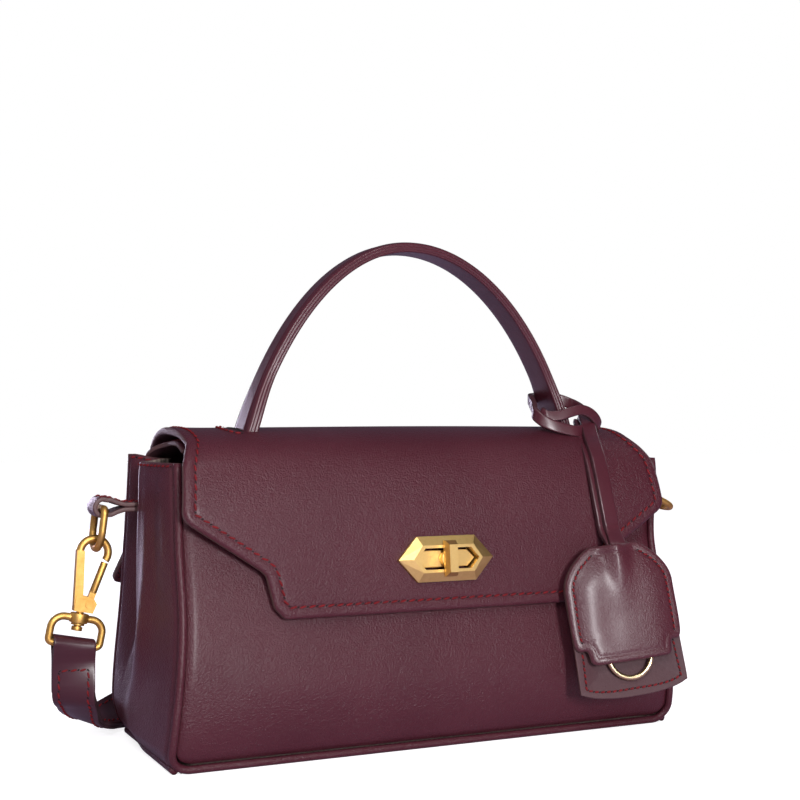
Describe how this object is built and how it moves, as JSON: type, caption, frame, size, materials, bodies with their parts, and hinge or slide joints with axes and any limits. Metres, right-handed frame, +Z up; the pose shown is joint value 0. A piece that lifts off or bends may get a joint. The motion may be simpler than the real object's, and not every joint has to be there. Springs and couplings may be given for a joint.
{
  "type": "mini bag",
  "caption": "Small top-handle flap bag in burgundy leather with a brass-coloured turn lock, a clip-on shoulder strap and a leather key bell.",
  "frame": {"origin": "centre of the base's underside, on the floor it stands on", "axes": "+X along the width to the wearer's right seen from the front, -Y out of the front, +Z up"},
  "size_m": [0.304, 0.179, 0.212],
  "materials": {
    "body_leather": "smooth fine-grain burgundy leather, semi-gloss",
    "edge_leather": "burgundy leather with taupe painted edges",
    "handle_leather": "padded burgundy leather",
    "strap_leather": "burgundy strap leather, stitched",
    "bell_leather": "burgundy leather leaf",
    "lining_cloth": "taupe woven lining",
    "board": "stiff board",
    "brushed_gold": "antique gold, brushed",
    "pale_gold": "pale gold, polished",
    "zip_tape": "woven zip tape"
  },
  "bodies": {
    "root": {"base_panel": "body_leather", "base_board": "board", "front_panel": "body_leather", "back_panel": "body_leather", "gusset_left": "body_leather", "gusset_right": "body_leather", "piping_front": "edge_leather", "piping_back": "edge_leather", "lining": "lining_cloth", "handle_bridge": "edge_leather", "bridge_patches": "edge_leather", "flap_rear": "body_leather", "handle": "handle_leather", "handle_liner": "handle_leather", "zip_tapes": "zip_tape", "zip_teeth": "pale_gold", "back_pocket": "lining_cloth", "tab_left": "edge_leather", "tab_right": "edge_leather", "dee_left": "brushed_gold", "strap_loop_left": "strap_leather", "strap_hang": "strap_leather", "strap_folds": "strap_leather", "strap_loop_end": "strap_leather", "dee_end": "brushed_gold", "lock_base": "brushed_gold", "lock_backplate": "brushed_gold", "lace_loop": "edge_leather"},
    "flap": {"flap_front": "body_leather", "flap_lining": "edge_leather", "lock_frame": "brushed_gold", "lock_washer": "brushed_gold", "lace_tail": "edge_leather"},
    "lock_bar": {"lock_bar": "brushed_gold"},
    "bell": {"bell_front": "bell_leather", "bell_back": "bell_leather"},
    "key_ring": {"key_ring": "pale_gold"},
    "ring_left": {"ring_left": "brushed_gold"},
    "ring_right": {"ring_right": "brushed_gold"},
    "hook_left": {"hook_left": "brushed_gold", "hook_left_rivet": "brushed_gold"},
    "gate_left": {"hook_left_gate": "brushed_gold"},
    "hook_end": {"hook_end": "brushed_gold", "hook_end_rivet": "brushed_gold"},
    "gate_end": {"hook_end_gate": "brushed_gold"},
    "zip_slider": {"zip_slider": "pale_gold"},
    "zip_pull": {"zip_ring": "pale_gold", "zip_puller": "edge_leather"}
  },
  "joints": [
    {"name": "flap_open", "type": "hinge", "parent": "root", "child": "flap", "pos_m": [0, -0.026, 0.126], "axis": [-1, 0, 0], "range_deg": [0, 130]},
    {"name": "lock_turn", "type": "hinge", "parent": "flap", "child": "lock_bar", "pos_m": [0, -0.04472, 0.0775], "axis": [0, -0.9953, 0.0965], "range_deg": [0, 90]},
    {"name": "bell_swing", "type": "hinge", "parent": "flap", "child": "bell", "pos_m": [0.0745, -0.05379, 0.081], "axis": [-0.2382, -0.9556, 0.1736], "range_deg": [-8, 12]},
    {"name": "key_ring_swing", "type": "hinge", "parent": "bell", "child": "key_ring", "pos_m": [0.07721, -0.06153, 0.0421], "axis": [-0.2382, -0.9556, 0.1736], "range_deg": [-20, 20]},
    {"name": "ring_left_swing", "type": "hinge", "parent": "root", "child": "ring_left", "pos_m": [-0.1272, 0.015, 0.098], "axis": [0, 1, 0], "range_deg": [-2, 4]},
    {"name": "ring_right_swing", "type": "hinge", "parent": "root", "child": "ring_right", "pos_m": [0.1382, 0.015, 0.098], "axis": [0, 1, 0], "range_deg": [-12, 65]},
    {"name": "hook_left_spin", "type": "hinge", "parent": "root", "child": "hook_left", "pos_m": [-0.1358, 0.015, 0.0538], "axis": [0.1977, 0, 0.9803], "range_deg": [-20, 20]},
    {"name": "gate_left_open", "type": "hinge", "parent": "hook_left", "child": "gate_left", "pos_m": [-0.13206, 0.015, 0.05917], "axis": [0, -1, 0], "range_deg": [0, 20], "stiffness_Nm_per_rad": 0.01, "springref_deg": -17.19},
    {"name": "hook_end_spin", "type": "hinge", "parent": "root", "child": "hook_end", "pos_m": [0.022, 0.096, 0.0039], "axis": [1, 0, 0], "range_deg": [-15, 15]},
    {"name": "gate_end_open", "type": "hinge", "parent": "hook_end", "child": "gate_end", "pos_m": [0.028, 0.0986, 0.0039], "axis": [0, 0, -1], "range_deg": [0, 20], "stiffness_Nm_per_rad": 0.01, "springref_deg": -17.19},
    {"name": "zip_slide", "type": "slide", "parent": "root", "child": "zip_slider", "axis": [1, 0, 0], "range_m": [0, 0.188]},
    {"name": "zip_pull_swing", "type": "hinge", "parent": "zip_slider", "child": "zip_pull", "pos_m": [-0.1026, 0.03596, 0.08941], "axis": [0, 0.9274, 0.3741], "range_deg": [-30, 8]}
  ]
}
